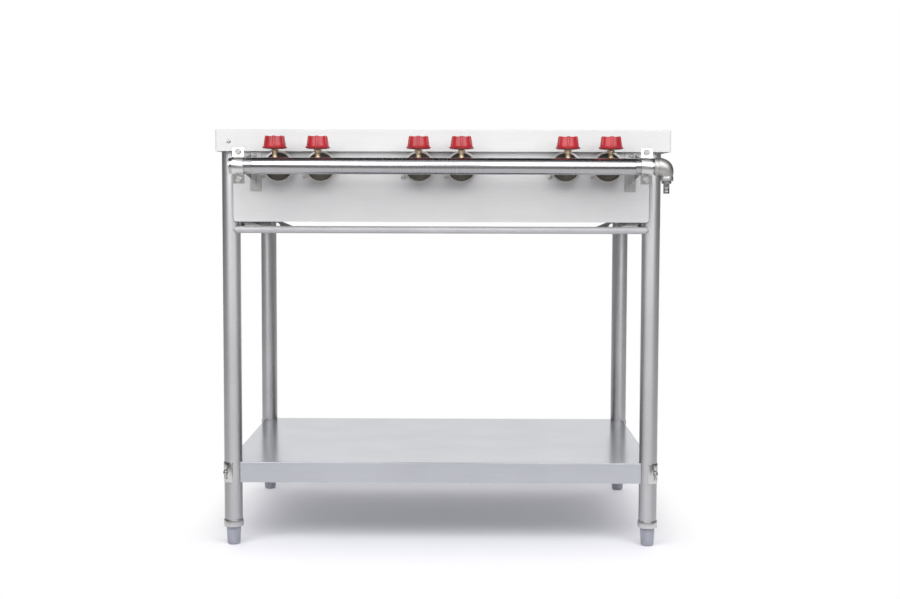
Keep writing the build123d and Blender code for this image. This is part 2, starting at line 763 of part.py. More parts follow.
# Pan-head screws: four hold the brackets on the panel, one holds the rim on the front left leg
screw_places = [(x, panel_front_y - bracket_sheet, z) for x, z in bracket_screws]
screw_places.append((leg_left_x, rim_front_y, rim_screw_z))
screw_length = rim_overhang + 2 * leg_wall
with BuildPart() as pan_head_screws:
    for place in screw_places:
        with BuildSketch(front_plane(*place)):
            Circle(screw_head_r)
        extrude(amount=screw_head_height)
        with BuildSketch(front_plane(*place)):
            Circle(screw_r)
        extrude(amount=-screw_length)
    head_faces = pan_head_screws.faces().filter_by(GeomType.PLANE).filter_by(Axis.Y)
    head_fronts = [face for face in head_faces if face.normal_at().Y < 0]
    fillet([edge for face in head_fronts for edge in face.outer_wire().edges()], screw_head_height / 2)
save(pan_head_screws, "pan_head_screws")

# Valve bodies: a barrel behind the pipe, a nipple into it, an outlet to the jet and a grooved neck above
outlet_length = valve_outlet_end - valve_y
with BuildPart() as valve_bodies:
    valve_points = [(x, valve_y) for x in valve_x]
    with BuildSketch(Plane.XY.offset(pipe_z - barrel_below)):
        with Locations(*valve_points):
            Circle(barrel_r)
    extrude(amount=barrel_below + barrel_above)
    with BuildSketch(Plane.XY.offset(barrel_top)):
        with Locations(*valve_points):
            Circle(valve_neck_r)
    extrude(amount=valve_neck_height)
    with BuildSketch(Plane.XY.offset(barrel_top + valve_groove_low)):
        with Locations(*valve_points):
            Circle(valve_neck_r)
            Circle(valve_groove_r, mode=Mode.SUBTRACT)
    extrude(amount=valve_groove_width, mode=Mode.SUBTRACT)
    with BuildSketch(Plane.XY.offset(valve_neck_top)):
        with Locations(*valve_points):
            Circle(valve_thread_r)
    extrude(amount=valve_thread_height)
    valve_front = front_plane(0, valve_y, pipe_z)
    with BuildSketch(valve_front):
        with Locations(*[(x, 0) for x in valve_x]):
            Circle(valve_port_r)
    extrude(amount=-outlet_length)
    with BuildSketch(valve_front):
        with Locations(*[(x, 0) for x in valve_x]):
            Circle(valve_nipple_r)
    extrude(amount=valve_behind_pipe - pipe_r + valve_nipple_depth)
    with BuildSketch(Plane.XY.offset(spindle_bottom - spindle_r)):
        with Locations(*valve_points):
            Circle(spindle_r + fit_gap)
    extrude(amount=outside, mode=Mode.SUBTRACT)
    with BuildSketch(front_plane(0, valve_outlet_end, pipe_z)):
        with Locations(*[(x, 0) for x in valve_x]):
            Circle(valve_thread_r + fit_gap)
    extrude(amount=jet_spigot, mode=Mode.SUBTRACT)
save(valve_bodies, "valve_bodies")

# Gland nuts, hexagons on the valve necks close under the knobs
with BuildPart() as gland_nuts:
    with BuildSketch(Plane.XY.offset(valve_neck_top)):
        with Locations(*valve_points):
            RegularPolygon(gland_af / 2, 6, major_radius=False)
    extrude(amount=gland_height)
    with BuildSketch(Plane.XY.offset(valve_neck_top)):
        with Locations(*valve_points):
            Circle(valve_thread_r + fit_gap)
    extrude(amount=valve_thread_height + hole_gap, mode=Mode.SUBTRACT)
    with BuildSketch(Plane.XY.offset(valve_neck_top)):
        with Locations(*valve_points):
            Circle(spindle_r + fit_gap)
    extrude(amount=outside, mode=Mode.SUBTRACT)
save(gland_nuts, "gland_nuts")

# Gas jets, screwed into the valve outlets and pointing into the mixing tubes
with BuildPart() as gas_jets:
    jet_points = [(x, 0) for x in valve_x]
    jet_base = front_plane(0, valve_outlet_end, pipe_z)
    with BuildSketch(jet_base):
        with Locations(*jet_points):
            RegularPolygon(jet_af / 2, 6, major_radius=False)
    extrude(amount=-jet_hex_length)
    with BuildSketch(jet_base):
        with Locations(*jet_points):
            Circle(valve_thread_r)
    extrude(amount=jet_spigot - hole_gap)
    with BuildSketch(jet_base):
        with Locations(*jet_points):
            Circle(jet_tip_r)
    extrude(amount=-(jet_hex_length + jet_tip_length))
    with BuildSketch(front_plane(0, valve_outlet_end - jet_spigot, pipe_z)):
        with Locations(*jet_points):
            Circle(jet_bore_r)
    extrude(amount=-outside, mode=Mode.SUBTRACT)
save(gas_jets, "gas_jets")

# Spindles, rods that screw up and down in the valves with a needle point at the seat
for name, x in zip(valve_names, valve_x):
    with BuildPart() as spindle:
        with BuildSketch(Plane.XY.offset(spindle_bottom)):
            with Locations((x, valve_y)):
                Circle(spindle_r)
        extrude(amount=spindle_top - spindle_bottom)
        chamfer(spindle.edges().group_by(Axis.Z)[0], spindle_r - jet_bore_r)
    save(spindle, f"spindle_{name}")


# Knobs, ribbed plastic caps with a lip round the foot, blind-bored for the spindle
def make_knob(x):
    top_r = knob_body_r - knob_taper
    crown_z = knob_height - knob_crown_r
    lip_low = (knob_lip_r - knob_lip_undercut, knob_lip_z)
    lip_high = (knob_lip_r, knob_lip_z + knob_lip_thickness)
    rib_path_r = knob_body_r + rib_proud - rib_r
    rib_lean = knob_taper / (crown_z - knob_waist_z)
    with BuildPart() as knob:
        with BuildSketch(front_plane(x, valve_y, knob_bottom)):
            with BuildLine():
                Line((0, 0), (knob_foot_r, 0))
                ThreePointArc((knob_foot_r, 0), knob_dish, lip_low)
                Line(lip_low, lip_high)
                ThreePointArc(lip_high, knob_groove, (knob_body_r, knob_waist_z))
                Line((knob_body_r, knob_waist_z), (top_r, crown_z))
                RadiusArc((top_r, crown_z), (top_r - knob_crown_r, knob_height), -knob_crown_r)
                Line((top_r - knob_crown_r, knob_height), (0, knob_height))
                Line((0, knob_height), (0, 0))
            make_face()
        revolve(axis=Axis((x, valve_y, 0), (0, 0, 1)))
        for rib in range(knob_ribs):
            turn = radians(360 * rib / knob_ribs - 90)
            outward = Vector(cos(turn), sin(turn), 0)
            rib_foot = Vector(x, valve_y, knob_bottom + knob_waist_z) + outward * rib_path_r
            with BuildSketch(Plane(rib_foot)):
                Circle(rib_r)
            rib_way = Vector(0, 0, 1) - outward * rib_lean
            extrude(amount=(knob_height + rib_rise - knob_waist_z) * rib_way.length, dir=rib_way)
        with BuildSketch(Plane((x, valve_y, knob_bottom))):
            Circle(spindle_r + fit_gap)
        extrude(amount=spindle_top - knob_bottom + foot_gap, mode=Mode.SUBTRACT)
    return knob


for name, x in zip(valve_names, valve_x):
    save(make_knob(x), f"knob_{name}")


# Air shutters, sheet sleeves that turn on the mixing bells, with an ear for the locking screw
def air_window(x):
    """Outline of the air windows through the top and bottom of a bell and its shutter."""
    with BuildSketch(Plane.XY.offset(pipe_z)) as window:
        with Locations((x, mouth_y + (shutter_length + shutter_sheet) / 2)):
            Rectangle(window_width, window_length)
    return window.sketch


def make_shutter(x):
    sleeve_length = shutter_length - shutter_sheet
    ear_length = ear_reach - shutter_lip_r
    with BuildPart() as shutter:
        with BuildSketch(front_plane(x, mouth_y + shutter_length, pipe_z)):
            Circle(shutter_r)
            Circle(shutter_r - shutter_sheet, mode=Mode.SUBTRACT)
        extrude(amount=sleeve_length)
        with BuildSketch(front_plane(x, mouth_y + shutter_sheet, pipe_z)):
            Circle(shutter_r)
            with PolarLocations(shutter_lip_r + ear_length / 2, 1, start_angle=ear_angle):
                SlotOverall(ear_length, ear_width)
            Circle(shutter_lip_r, mode=Mode.SUBTRACT)
            with PolarLocations(ear_screw_radius, 1, start_angle=ear_angle):
                Circle(ear_hole_r, mode=Mode.SUBTRACT)
        extrude(amount=shutter_sheet)
        extrude(air_window(x), amount=shutter_od, both=True, mode=Mode.SUBTRACT)
    return shutter


for name, x in zip(valve_names, valve_x):
    save(make_shutter(x), f"air_shutter_{name}")


# Mixing bells, cast cups screwed on the mixing tubes in front of the panel, under the air shutters
with BuildPart() as mixing_bells:
    for x in valve_x:
        with BuildSketch(Plane(origin=(x, 0, pipe_z), x_dir=(0, 1, 0), z_dir=(1, 0, 0))):
            with BuildLine():
                Polyline(
                    (bell_front_y, bell_r - bell_wall),
                    (bell_front_y, bell_r),
                    (bell_shoulder_y, bell_r),
                    (bell_hub_y, bell_hub_r),
                    (bell_back_y, bell_hub_r),
                    (bell_back_y, tube_r + fit_gap),
                    (bell_socket_y, tube_r + fit_gap),
                    (bell_socket_y, tube_bore_r),
                    (bell_throat_y, tube_bore_r),
                    (bell_floor_y, bell_r - bell_wall),
                    close=True,
                )
            make_face()
        revolve(axis=Axis((x, 0, pipe_z), (0, 1, 0)))
        extrude(air_window(x), amount=shutter_od, both=True, mode=Mode.SUBTRACT)
save(mixing_bells, "mixing_bells")


# Burners: cast outer and inner rings with a gas channel and ports, each fed by its own mixing tube
def make_burner(centre_x):
    place = (centre_x, leg_mid_y)
    ring_top = ring_bottom + ring_height
    outer_mid = sum(outer_ring) / 2
    inner_mid = sum(inner_ring) / 2
    outer_feed = (centre_x + valve_offset, leg_mid_y - (outer_mid**2 - valve_offset**2) ** 0.5)
    inner_feed = (centre_x - inner_mid, leg_mid_y)
    tubes = (
        (centre_x - valve_offset, leg_mid_y + tube_r),
        (centre_x + valve_offset, outer_feed[1] + tube_r),
    )
    bridge_length = outer_ring[0] - inner_ring[1] + 2 * ring_wall
    with BuildPart() as burner:
        with BuildSketch(Plane.XY.offset(ring_bottom)):
            with Locations(place):
                for inside, rim in (outer_ring, inner_ring):
                    Circle(rim)
                    Circle(inside, mode=Mode.SUBTRACT)
        extrude(amount=ring_height)
        with BuildSketch(Plane((centre_x, leg_mid_y, ring_bottom))):
            with PolarLocations((outer_ring[0] + inner_ring[1]) / 2, 3, start_angle=90):
                Rectangle(bridge_length, bridge_width)
        extrude(amount=ring_height / 2)
        with BuildSketch(Plane((centre_x, leg_mid_y, bar_top))):
            with GridLocations(2 * bar_x, 2 * burner_post_y, 2, 2):
                Circle(burner_post_r)
        extrude(amount=ring_bottom - bar_top + ring_wall / 2)
        for x, end_y in tubes:
            with BuildSketch(front_plane(x, tube_front_y, pipe_z)):
                Circle(tube_r)
            extrude(amount=tube_front_y - end_y)
        for x, end_y in tubes:
            with BuildSketch(front_plane(x, tube_front_y, pipe_z)):
                Circle(tube_bore_r)
            extrude(amount=tube_front_y - end_y + ring_wall, mode=Mode.SUBTRACT)
        for inside, rim in (outer_ring, inner_ring):
            with BuildSketch(Plane.XY.offset(ring_bottom + ring_wall)):
                with Locations(place):
                    Circle(rim - ring_wall)
                    Circle(inside + ring_wall, mode=Mode.SUBTRACT)
            extrude(amount=ring_height - 2 * ring_wall, mode=Mode.SUBTRACT)
        with BuildSketch(Plane.XY.offset(pipe_z)):
            with Locations(outer_feed, inner_feed):
                Circle(ring_wall)
        extrude(amount=ring_bottom + 2 * ring_wall - pipe_z, mode=Mode.SUBTRACT)
        with BuildSketch(Plane((centre_x, leg_mid_y, ring_top))):
            with PolarLocations(outer_mid, outer_ports):
                Circle(port_r)
            with PolarLocations(inner_mid, inner_ports):
                Circle(port_r)
        extrude(amount=-2 * ring_wall, mode=Mode.SUBTRACT)
    return burner


for name, x in zip(burner_names, burner_x):
    save(make_burner(x), f"burner_{name}")

# Burner bars, flat bars on edge from the front panel to the back panel under the burners' posts
bar_front_y = panel_front_y + sheet
bar_length = panel_back_y - sheet - bar_front_y
with BuildPart() as burner_bars:
    with BuildSketch(front_plane(0, bar_front_y, bar_top)):
        with Locations(*[(x + side * bar_x, 0) for x in burner_x for side in (-1, 1)]):
            Rectangle(bar_thickness, bar_height, align=(Align.CENTER, Align.MAX))
    extrude(amount=-bar_length)
save(burner_bars, "burner_bars")


# Pan supports: a cast frame on the top plate, a skirt that locates it in the opening, and eight fingers
def make_pan_support(centre_x):
    skirt_x = opening_x - 2 * support_skirt_gap
    skirt_y = opening_y - 2 * support_skirt_gap
    support_top = rim_top + support_thickness
    side_root = (support_x - support_frame) / 2
    end_root = (support_y - support_frame) / 2
    corner_root = side_root / cos(radians(45))
    finger_roots = (side_root, corner_root, end_root, corner_root)
    frame_plane = Plane((centre_x, leg_mid_y, rim_top))
    with BuildPart() as support:
        with BuildSketch(frame_plane):
            RectangleRounded(support_x, support_y, support_corner_r)
            RectangleRounded(
                support_x - 2 * support_frame,
                support_y - 2 * support_frame,
                support_corner_r,
                mode=Mode.SUBTRACT,
            )
        extrude(amount=support_thickness)
        with BuildSketch(frame_plane.offset(-support_skirt)):
            RectangleRounded(skirt_x, skirt_y, support_corner_r)
            RectangleRounded(
                skirt_x - 2 * skirt_wall,
                skirt_y - 2 * skirt_wall,
                support_corner_r - skirt_wall,
                mode=Mode.SUBTRACT,
            )
        extrude(amount=support_skirt + support_thickness / 2)
        for step in range(8):
            angle = radians(45 * step)
            root_r = finger_roots[step % 4]
            along = (cos(angle), sin(angle), 0)
            across = (sin(angle), -cos(angle), 0)
            with BuildSketch(Plane(origin=(centre_x, leg_mid_y, support_top), x_dir=along, z_dir=across)):
                with BuildLine():
                    Polyline(
                        (finger_tip_r, 0),
                        (root_r, 0),
                        (root_r, -support_thickness - support_skirt),
                        (root_r - finger_root_depth, -finger_root_depth),
                        (finger_tip_r, -finger_tip_depth),
                        close=True,
                    )
                make_face()
            extrude(amount=finger_width / 2, both=True)
        with BuildSketch(frame_plane):
            Rectangle(support_x, support_y)
            RectangleRounded(skirt_x, skirt_y, support_corner_r, mode=Mode.SUBTRACT)
        extrude(amount=-finger_root_depth, mode=Mode.SUBTRACT)
    return support


for name, x in zip(burner_names, burner_x):
    save(make_pan_support(x), f"pan_support_{name}")
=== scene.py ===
from math import cos, pi, radians, sin, sqrt, tan

import bmesh
import bpy
from mathutils import Matrix, Vector


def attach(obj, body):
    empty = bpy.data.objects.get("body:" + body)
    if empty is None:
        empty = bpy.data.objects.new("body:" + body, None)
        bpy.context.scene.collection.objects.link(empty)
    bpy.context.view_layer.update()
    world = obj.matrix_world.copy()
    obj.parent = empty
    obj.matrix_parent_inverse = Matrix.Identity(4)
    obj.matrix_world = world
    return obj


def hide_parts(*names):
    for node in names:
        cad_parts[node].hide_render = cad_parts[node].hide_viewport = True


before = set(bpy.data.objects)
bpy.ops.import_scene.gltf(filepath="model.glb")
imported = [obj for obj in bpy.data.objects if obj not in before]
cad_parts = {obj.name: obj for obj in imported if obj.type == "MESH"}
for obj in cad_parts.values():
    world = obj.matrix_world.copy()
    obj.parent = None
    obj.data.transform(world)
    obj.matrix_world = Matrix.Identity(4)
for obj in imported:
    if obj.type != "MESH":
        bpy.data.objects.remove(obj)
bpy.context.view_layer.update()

# Legs: four stainless steel tubes, belt-polished round and round, so that fine rings spread each
# highlight along the tube. They are cut square, and the rails are welded to them.
leg_radius = 0.019
leg_places = {
    "front_left": (-0.444, -0.242),
    "front_right": (0.436, -0.242),
    "back_left": (-0.444, 0.358),
    "back_right": (0.436, 0.358),
}


def shader_group(name, inputs, outputs):
    """An empty node group with named sockets, with its input and output nodes."""
    group = bpy.data.node_groups.new(name, "ShaderNodeTree")
    for socket, kind in inputs.items():
        group.interface.new_socket(socket, in_out="INPUT", socket_type=f"NodeSocket{kind}")
    for socket, kind in outputs.items():
        group.interface.new_socket(socket, in_out="OUTPUT", socket_type=f"NodeSocket{kind}")
    return group, group.nodes.new("NodeGroupInput"), group.nodes.new("NodeGroupOutput")


def noise(tree, place, scale, detail=2.0):
    """The value output of a noise texture on the given place."""
    texture = tree.nodes.new("ShaderNodeTexNoise")
    texture.inputs["Scale"].default_value = scale
    texture.inputs["Detail"].default_value = detail
    tree.links.new(place, texture.inputs["Vector"])
    return texture.outputs["Fac"]


def remap(tree, value, low, high, to_low=0.0, to_high=1.0):
    """Smoothly carries a value from one range to another."""
    ramp = tree.nodes.new("ShaderNodeMapRange")
    ramp.interpolation_type = "SMOOTHSTEP"
    sockets = ("From Min", "From Max", "To Min", "To Max")
    for socket, number in zip(sockets, (low, high, to_low, to_high)):
        ramp.inputs[socket].default_value = number
    tree.links.new(value, ramp.inputs["Value"])
    return ramp.outputs["Result"]


def blend_colors(tree, share, first, second):
    """A colour mix; each colour is a socket or three numbers.

    The mix node's colours are its inputs 6 and 7 and its output 2.
    """
    mix = tree.nodes.new("ShaderNodeMix")
    mix.data_type = "RGBA"
    tree.links.new(share, mix.inputs["Factor"])
    for socket, colour in ((mix.inputs[6], first), (mix.inputs[7], second)):
        if isinstance(colour, tuple):
            socket.default_value = (*colour, 1.0)
        else:
            tree.links.new(colour, socket)
    return mix.outputs[2]


def calculate(tree, operation, first, second):
    """One step of arithmetic; each term is a socket or a number."""
    step = tree.nodes.new("ShaderNodeMath")
    step.operation = operation
    for socket, term in zip(step.inputs, (first, second)):
        if isinstance(term, (int, float)):
            socket.default_value = term
        else:
            tree.links.new(term, socket)
    return step.outputs["Value"]


def build_polishing_marks():
    """Fine lines from polishing or brushing, with cloudy patches of duller metal."""
    line_share = 0.45
    cloud_share = 0.55
    clouds_per_metre = 7.0
    fineness = 3.0
    noise_middle = 0.5
    group, take, put = shader_group(
        "polishing marks",
        {
            "Place": "Vector",
            "Lines": "Vector",
            "Light": "Color",
            "Dark": "Color",
            "Roughness": "Float",
            "Spread": "Float",
        },
        {"Color": "Color", "Roughness": "Float", "Height": "Float"},
    )
    stretch = group.nodes.new("ShaderNodeVectorMath")
    stretch.operation = "MULTIPLY"
    group.links.new(take.outputs["Place"], stretch.inputs[0])
    group.links.new(take.outputs["Lines"], stretch.inputs[1])
    lines = noise(group, stretch.outputs["Vector"], 1.0, fineness)
    clouds = noise(group, take.outputs["Place"], clouds_per_metre, fineness)
    line_part = calculate(group, "MULTIPLY", lines, line_share)
    cloud_part = calculate(group, "MULTIPLY", clouds, cloud_share)
    both = calculate(group, "ADD", line_part, cloud_part)
    shade = remap(group, both, low=0.3, high=0.7)
    color = blend_colors(group, shade, take.outputs["Dark"], take.outputs["Light"])
    dullness = calculate(group, "SUBTRACT", noise_middle, both)
    offset = calculate(group, "MULTIPLY", dullness, take.outputs["Spread"])
    roughness = calculate(group, "ADD", take.outputs["Roughness"], offset)
    group.links.new(color, put.inputs["Color"])
    group.links.new(roughness, put.inputs["Roughness"])
    group.links.new(lines, put.inputs["Height"])
    return group


polishing_marks = build_polishing_marks()


def new_material(name):
    """A material with its node tree, its shader and the place of each point in metres."""
    material = bpy.data.materials.new(name)
    material.use_nodes = True
    tree = material.node_tree
    place = tree.nodes.new("ShaderNodeTexCoord").outputs["Object"]
    return material, tree, tree.nodes["Principled BSDF"], place


def place_marks(tree, shader, place, light, dark, roughness, spread, lines):
    """Puts the polishing marks in a material; lines is how many cross a metre along each axis."""
    marks = tree.nodes.new("ShaderNodeGroup")
    marks.node_tree = polishing_marks
    tree.links.new(place, marks.inputs["Place"])
    marks.inputs["Lines"].default_value = lines
    marks.inputs["Light"].default_value = (*light, 1.0)
    marks.inputs["Dark"].default_value = (*dark, 1.0)
    marks.inputs["Roughness"].default_value = roughness
    marks.inputs["Spread"].default_value = spread
    tree.links.new(marks.outputs["Roughness"], shader.inputs["Roughness"])
    return marks


def add_bump(tree, shader, height, strength, depth):
    """Feeds a height to the shader's normal."""
    bump = tree.nodes.new("ShaderNodeBump")
    bump.inputs["Strength"].default_value = strength
    bump.inputs["Distance"].default_value = depth
    tree.links.new(height, bump.inputs["Height"])
    tree.links.new(bump.outputs["Normal"], shader.inputs["Normal"])


def steel(name, light, dark, roughness, spread, lines, groove, spin_axis=None, metal=1.0):
    """Bare metal with polishing marks.

    spin_axis is the axis of a tube that was polished round and round. A metal share below one stands
    for a brushed face that scatters light like a matt one.
    """
    material, tree, shader, place = new_material(name)
    marks = place_marks(tree, shader, place, light, dark, roughness, spread, lines)
    tree.links.new(marks.outputs["Color"], shader.inputs["Base Color"])
    shader.inputs["Metallic"].default_value = metal
    add_bump(tree, shader, marks.outputs["Height"], strength=0.1, depth=groove)
    if spin_axis:
        tangent = tree.nodes.new("ShaderNodeTangent")
        tangent.direction_type = "RADIAL"
        tangent.axis = spin_axis
        tree.links.new(tangent.outputs["Tangent"], shader.inputs["Tangent"])
        shader.inputs["Anisotropic"].default_value = 0.5
        shader.inputs["Anisotropic Rotation"].default_value = 0.25
    return material


def dress(material, names, edge=0.0):
    """Gives CAD nodes a material and, where edge is set, rounds their sharp edges by that much."""
    for name in names:
        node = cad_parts[name]
        node.data.materials.clear()
        node.data.materials.append(material)
        if edge:
            weld = node.modifiers.new("joined faces", "WELD")
            weld.merge_threshold = 0.000002
            bevel = node.modifiers.new("rounded edges", "BEVEL")
            bevel.width = edge
            bevel.segments = 2
            bevel.limit_method = "ANGLE"
            bevel.angle_limit = radians(40)
            bevel.harden_normals = True


upright_tube = steel(
    "polished upright tube",
    light=(0.62, 0.615, 0.63),
    dark=(0.54, 0.535, 0.55),
    roughness=0.5,
    spread=0.10,
    lines=(30, 30, 2600),
    groove=0.00004,
    spin_axis="Z",
)
dress(upright_tube, [f"leg_{corner}" for corner in leg_places])

# Feet: grey moulded plastic bullets screwed into steel cups on the leg ends. The cups are pressed over
# the tubes, and the plastic has the faint grain of its mould.
socket_steel = steel(
    "pressed cup steel",
    light=(0.68, 0.675, 0.67),
    dark=(0.52, 0.52, 0.515),
    roughness=0.34,
    spread=0.14,
    lines=(40, 40, 1500),
    groove=0.00003,
)
dress(socket_steel, ["foot_sockets"], edge=0.0006)


def moulded_plastic(name, light, dark, roughness, grain_scale, grain_depth, coat):
    """Plastic with slight flow marks in its colour and a fine mould grain."""
    flow_scale = 45.0
    gloss_change = 0.06
    material, tree, shader, place = new_material(name)
    flow = remap(tree, noise(tree, place, flow_scale), low=0.35, high=0.65)
    grain = noise(tree, place, grain_scale)
    gloss = remap(tree, grain, 0.3, 0.7, roughness - gloss_change, roughness + gloss_change)
    tree.links.new(blend_colors(tree, flow, dark, light), shader.inputs["Base Color"])
    tree.links.new(gloss, shader.inputs["Roughness"])
    shader.inputs["Coat Weight"].default_value = coat
    shader.inputs["Coat Roughness"].default_value = 0.12
    add_bump(tree, shader, grain, strength=0.25, depth=grain_depth)
    return material


foot_plastic = moulded_plastic(
    "grey foot plastic",
    light=(0.33, 0.34, 0.385),
    dark=(0.265, 0.275, 0.315),
    roughness=0.5,
    grain_scale=900.0,
    grain_depth=0.0001,
    coat=0.0,
)
dress(foot_plastic, [f"foot_{corner}" for corner in leg_places], edge=0.0008)

# Shelf: one stainless sheet, its edges folded down into flanges and its corners notched round the legs.
# Steel cleats in the corners take the bolts that draw it against the legs through curved pads outside.
shelf_steel = steel(
    "bright shelf sheet",
    light=(0.49, 0.50, 0.54),
    dark=(0.455, 0.465, 0.505),
    roughness=0.20,
    spread=0.10,
    lines=(12, 900, 900),
    groove=0.00002,
    metal=0.6,
)
dress(shelf_steel, ["shelf"])
pad_steel = steel(
    "pressed pad steel",
    light=(0.70, 0.70, 0.69),
    dark=(0.58, 0.58, 0.575),
    roughness=0.30,
    spread=0.12,
    lines=(300, 300, 600),
    groove=0.00003,
)
dress(pad_steel, ["shelf_clamps", "shelf_cleats"], edge=0.0003)
bolt_steel = steel(
    "plain bolt steel",
    light=(0.58, 0.575, 0.57),
    dark=(0.42, 0.415, 0.41),
    roughness=0.32,
    spread=0.18,
    lines=(700, 700, 700),
    groove=0.00004,
)


def hexagon(across_flats):
    """Radius of a hexagon at a given angle."""
    def radius(angle):
        turn = (angle + pi / 6) % (pi / 3) - pi / 6
        return across_flats / 2 / cos(turn)
    return radius


def cross(arm_length, arm_width):
    """Radius of a cross-shaped screw recess at a given angle."""
    def radius(angle):
        turn = abs((angle + pi / 4) % (pi / 2) - pi / 4)
        if tan(turn) <= arm_width / arm_length:
            return arm_length / cos(turn)
        return arm_width / sin(turn)
    return radius


def turned(mesh, rings, place, direction, segments=64):
    """Adds a closed form lofted through rings; each is a height and a radius, fixed or by angle."""
    turn = Vector(direction).to_track_quat("Z", "Y").to_matrix().to_4x4()
    spot = Matrix.Translation(place) @ turn
    loops = []
    for height, radius in rings:
        loop = []
        for step in range(segments):
            angle = 2 * pi * step / segments
            reach = radius(angle) if callable(radius) else radius
            loop.append(mesh.verts.new(spot @ Vector((reach * cos(angle), reach * sin(angle), height))))
        loops.append(loop)
    for lower, upper in zip(loops, loops[1:]):
        for step in range(segments):
            after = (step + 1) % segments
            mesh.faces.new((lower[step], lower[after], upper[after], upper[step]))
    mesh.faces.new(list(reversed(loops[0])))
    mesh.faces.new(loops[-1])


def washer(mesh, place, direction, radius, thickness):
    """A flat washer with a chamfered outer edge."""
    chamfer_height = 0.0002
    chamfer_width = 0.0003
    rings = [
        (0.0, radius),
        (thickness - chamfer_height, radius),
        (thickness, radius - chamfer_width),
    ]
    turned(mesh, rings, place, direction)


def domed_screw(
    mesh, place, direction, head_radius, head_height, recess, recess_depth, shank_radius, shank_length
):
    """A round-headed screw; recess gives the radius of the recess in its head by angle."""
    tip_share = 0.8
    tip_length = shank_radius * 0.3
    dome = ((0.0, 0.97), (0.15, 1.0), (0.45, 0.97), (0.75, 0.86), (0.93, 0.70))
    recess_rim = 1.12
    recess_edge = 0.97
    recess_floor = 0.75
    rings = [
        (-shank_length, shank_radius * tip_share),
        (-shank_length + tip_length, shank_radius),
        (0.0, shank_radius),
    ]
    rings += [(head_height * up, head_radius * out) for up, out in dome]
    rings += [
        (head_height, lambda angle: recess(angle) * recess_rim),
        (head_height * recess_edge, recess),
        (head_height - recess_depth, lambda angle: recess(angle) * recess_floor),
    ]
    turned(mesh, rings, place, direction)


def add_piece(name, mesh, material, body, stands_for=()):
    """Makes an object of the finished form, smooth between sharp edges, and rides it on a body."""
    bmesh.ops.recalc_face_normals(mesh, faces=mesh.faces)
    data = bpy.data.meshes.new(name)
    mesh.to_mesh(data)
    mesh.free()
    data.shade_smooth()
    data.set_sharp_from_angle(angle=radians(32))
    data.materials.append(material)
    piece = bpy.data.objects.new(name, data)
    bpy.context.scene.collection.objects.link(piece)
    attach(piece, body)
    if stands_for:
        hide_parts(*stands_for)


stove_middle_y = 0.058
shelf_bolt_z = 0.15575
pad_stand_off = 0.00155
pad_face = leg_radius + pad_stand_off
shelf_bolt_rest = 0.001
bolts = bmesh.new()
for x, y in leg_places.values():
    outward = Vector((1 if x > 0 else -1, 1 if y > stove_middle_y else -1, 0)).normalized()
    seat = Vector((x, y, shelf_bolt_z)) + outward * pad_face
    washer(bolts, seat, outward, radius=0.0062, thickness=0.0011)
    domed_screw(
        bolts,
        seat + outward * shelf_bolt_rest,
        outward,
        head_radius=0.005,
        head_height=0.003,
        recess=hexagon(0.004),
        recess_depth=0.002,
        shank_radius=0.003,
        shank_length=0.0505,
    )
add_piece("shelf_bolts_detailed", bolts, bolt_steel, "stove", ["shelf_bolts"])

# Rails and gussets: thin stainless tubes welded between the legs, and small plate triangles welded into
# the corners above them. The beads are laid by hand and brushed, with a trace of heat colour.
rail_radius = 0.0075
front_rail_z = 0.6693
back_rail_z = 0.6553
long_tube = steel(
    "satin long tube",
    light=(0.57, 0.57, 0.585),
    dark=(0.49, 0.49, 0.505),
    roughness=0.62,
    spread=0.12,
    lines=(2600, 30, 30),
    groove=0.00004,
    metal=0.65,
)
dress(long_tube, ["front_rail", "back_rail"])
# The side tubes are coloured darker than the long tubes: painted shade under the burner box.
shaded_side_tube = steel(
    "satin side tube in painted shade",
    light=(0.40, 0.395, 0.39),
    dark=(0.32, 0.315, 0.31),
    roughness=0.5,
    spread=0.12,
    lines=(30, 2600, 30),
    groove=0.00004,
)
dress(shaded_side_tube, ["side_rails"])
# The gussets are coloured dark as painted shade under the burner box.
shaded_gusset_steel = steel(
    "cut plate steel in painted shade",
    light=(0.40, 0.395, 0.39),
    dark=(0.30, 0.30, 0.30),
    roughness=0.42,
    spread=0.16,
    lines=(500, 60, 60),
    groove=0.00004,
)
dress(shaded_gusset_steel, ["corner_gussets"], edge=0.0004)


def weld_metal():
    """Brushed weld beads with straw and blue heat colours."""
    silver = (0.50, 0.49, 0.48)
    straw = (0.46, 0.40, 0.32)
    blue = (0.30, 0.32, 0.38)
    straw_scale = 160.0
    blue_scale = 90.0
    grain_scale = 1400.0
    material, tree, shader, place = new_material("brushed weld metal")
    heat = remap(tree, noise(tree, place, straw_scale), low=0.35, high=0.7)
    warm = blend_colors(tree, heat, silver, straw)
    tint = remap(tree, noise(tree, place, blue_scale, detail=1.0), low=0.55, high=0.75)
    tree.links.new(blend_colors(tree, tint, warm, blue), shader.inputs["Base Color"])
    gloss = remap(tree, heat, 0.0, 1.0, to_low=0.3, to_high=0.5)
    tree.links.new(gloss, shader.inputs["Roughness"])
    shader.inputs["Metallic"].default_value = 1.0
    add_bump(tree, shader, noise(tree, place, grain_scale), strength=0.2, depth=0.0001)
    return material


